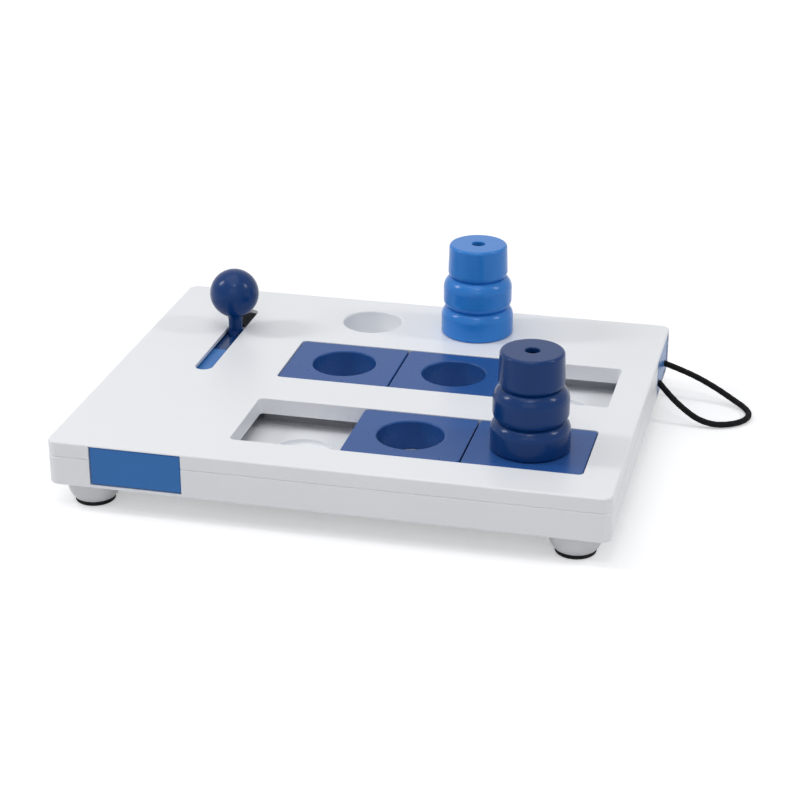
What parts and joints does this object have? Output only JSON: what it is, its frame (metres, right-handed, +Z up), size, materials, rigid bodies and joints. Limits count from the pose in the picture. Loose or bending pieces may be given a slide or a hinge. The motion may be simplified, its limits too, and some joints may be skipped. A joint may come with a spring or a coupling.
{
  "type": "dog puzzle feeder",
  "caption": "Flat rectangular treat puzzle on low feet, with sliding holed tiles in two tracks, lift-off ridged cones over cups, a lever drawer and a cord-pulled drawer.",
  "frame": {"origin": "on the floor under the centre of the board's outline, without the cord", "axes": "+X along the board's long side towards the corded drawer, +Y towards the cups behind the tracks, +Z up"},
  "size_m": [0.2949, 0.2, 0.078],
  "materials": {
    "shell_white": "smooth injection-moulded white plastic with a fine satin grain",
    "foot_grey": "satin light grey plastic",
    "ring_rubber": "black anti-slip rubber",
    "screw_steel": "zinc-plated steel",
    "tile_blue": "satin slate-blue plastic",
    "cone_light_blue": "satin sky-blue plastic",
    "cone_navy": "satin navy plastic",
    "lever_navy": "satin navy plastic",
    "drawer_blue": "satin mid-blue plastic",
    "cord_black": "round braided black polyester cord"
  },
  "bodies": {
    "board": {"top_cover": "shell_white", "base_tray": "shell_white", "foot_front_left": "foot_grey", "foot_front_right": "foot_grey", "foot_rear_left": "foot_grey", "foot_rear_right": "foot_grey", "rubber_ring_front_left": "ring_rubber", "rubber_ring_front_right": "ring_rubber", "rubber_ring_rear_left": "ring_rubber", "rubber_ring_rear_right": "ring_rubber", "shell_screws": "screw_steel"},
    "rear_left_tile": {"tile_rear_left": "tile_blue"},
    "rear_middle_tile": {"tile_rear_middle": "tile_blue"},
    "front_middle_tile": {"tile_front_middle": "tile_blue"},
    "front_right_tile": {"tile_front_right": "tile_blue"},
    "light_cone": {"light_cone": "cone_light_blue"},
    "dark_cone": {"dark_cone": "cone_navy"},
    "lever_drawer": {"lever_drawer": "drawer_blue", "lever_arm": "lever_navy", "lever_knob": "lever_navy", "lever_screws": "screw_steel"},
    "cord_drawer": {"cord_drawer": "drawer_blue", "cord_knots": "cord_black", "pull_cord": "cord_black"}
  },
  "joints": [
    {"name": "rear_middle_tile_slide", "type": "slide", "parent": "board", "child": "rear_middle_tile", "axis": [1, 0, 0], "range_m": [0, 0.0496]},
    {"name": "rear_left_tile_slide", "type": "slide", "parent": "board", "child": "rear_left_tile", "axis": [1, 0, 0], "range_m": [0, 0.0496]},
    {"name": "front_middle_tile_slide", "type": "slide", "parent": "board", "child": "front_middle_tile", "axis": [-1, 0, 0], "range_m": [0, 0.0496]},
    {"name": "front_right_tile_slide", "type": "slide", "parent": "board", "child": "front_right_tile", "axis": [-1, 0, 0], "range_m": [0, 0.0496]},
    {"name": "light_cone_lift", "type": "slide", "parent": "board", "child": "light_cone", "axis": [0, 0, 1], "range_m": [0, 0.03]},
    {"name": "dark_cone_lift", "type": "slide", "parent": "front_right_tile", "child": "dark_cone", "axis": [0, 0, 1], "range_m": [0, 0.03]},
    {"name": "lever_drawer_slide", "type": "slide", "parent": "board", "child": "lever_drawer", "axis": [0, -1, 0], "range_m": [0, 0.045]},
    {"name": "cord_drawer_slide", "type": "slide", "parent": "board", "child": "cord_drawer", "axis": [1, 0, 0], "range_m": [0, 0.04]}
  ],
  "couplings": [
    {"joint": "rear_left_tile_slide", "follows": "rear_middle_tile_slide", "ratio": 1},
    {"joint": "front_right_tile_slide", "follows": "front_middle_tile_slide", "ratio": 1}
  ]
}
